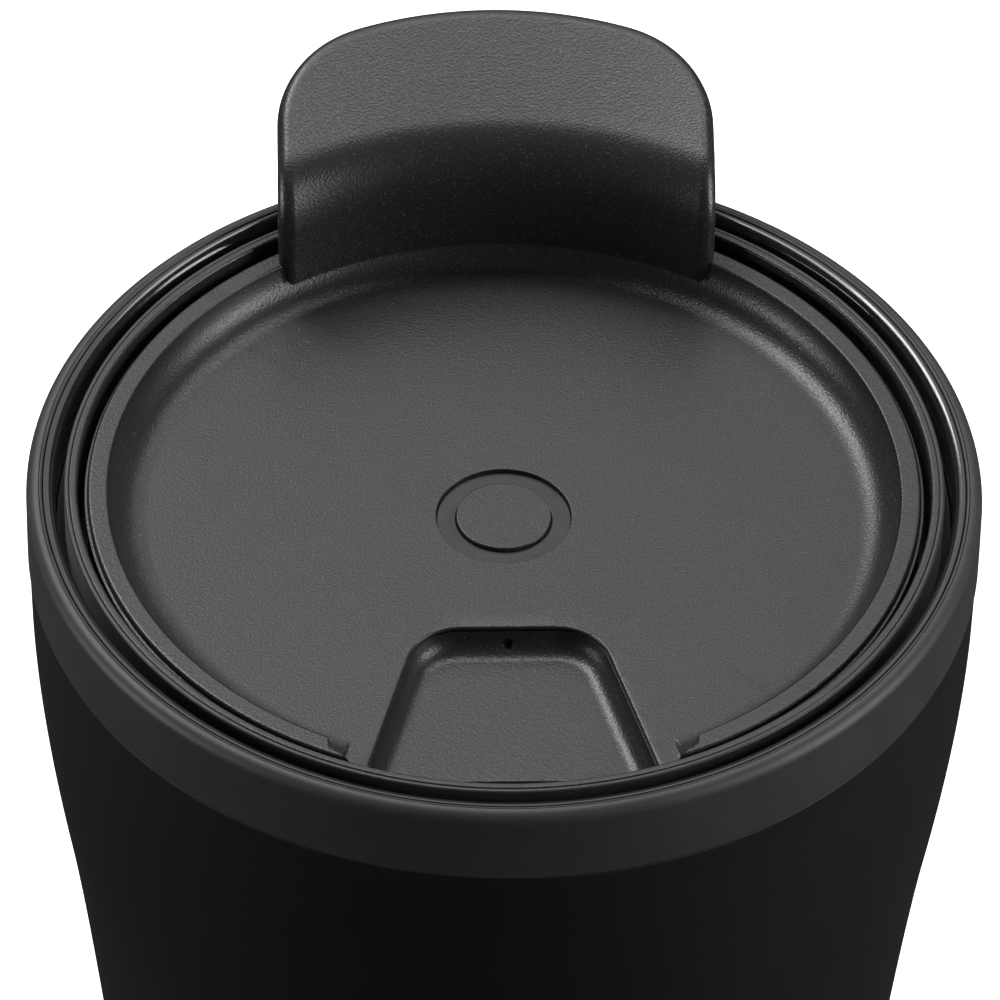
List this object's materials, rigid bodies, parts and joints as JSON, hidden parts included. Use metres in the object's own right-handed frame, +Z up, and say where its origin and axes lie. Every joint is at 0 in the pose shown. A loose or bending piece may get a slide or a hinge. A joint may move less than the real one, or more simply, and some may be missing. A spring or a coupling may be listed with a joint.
{
  "type": "insulated tumbler with lid",
  "caption": "Vacuum-insulated tumbler with a matte collar and a press-in lid whose dished disc, with a thumb tab, turns to open or close the drinking slot.",
  "frame": {"origin": "centre of the face the cup stands on", "axes": "+Z up along the cup's axis; the drinking notch faces -Y and the thumb tab is at +Y in the rest pose"},
  "size_m": [0.088, 0.0964, 0.1448],
  "materials": {
    "powder_coat": "soft-touch matte powder coat",
    "polished_steel": "dark glossy ceramic coating over steel on the liner",
    "bare_steel": "bare stainless steel",
    "collar_matte": "fine matte",
    "silicone_black": "satin silicone",
    "lid_grained": "fine sparkly grain",
    "lid_gloss": "smooth gloss",
    "foam_cream": "foam, stands in for expanded foam",
    "brass": "turned",
    "copper": "thin copper foil",
    "acetal_white": "smooth acetal"
  },
  "bodies": {
    "cup": {"outer_shell": "powder_coat", "inner_liner": "polished_steel", "base_plate": "powder_coat", "vacuum_plug": "bare_steel", "getter": "bare_steel", "copper_shield": "copper", "collar": "collar_matte", "base_pad": "silicone_black"},
    "lid": {"lid_base": "lid_grained", "lid_gasket": "silicone_black", "foam_insert": "foam_cream", "lid_bottom_cover": "lid_grained", "pivot_insert": "brass", "pivot_screw": "bare_steel", "pivot_washer": "acetal_white", "hub_o_ring": "silicone_black", "pivot_ring": "lid_gloss", "pivot_cap": "lid_grained"},
    "disc": {"turn_disc": "lid_grained", "sip_well": "lid_grained", "slot_seal": "silicone_black", "closure_pad": "silicone_black", "vent_plug": "silicone_black", "wiper_ring": "silicone_black"}
  },
  "joints": [
    {"name": "lid_lift", "type": "slide", "parent": "cup", "child": "lid", "axis": [0, 0, 1], "range_m": [0, 0.08]},
    {"name": "disc_turn", "type": "hinge", "parent": "lid", "child": "disc", "pos_m": [0, 0, 0.1272], "axis": [0, 0, 1], "range_deg": [0, 90]}
  ]
}
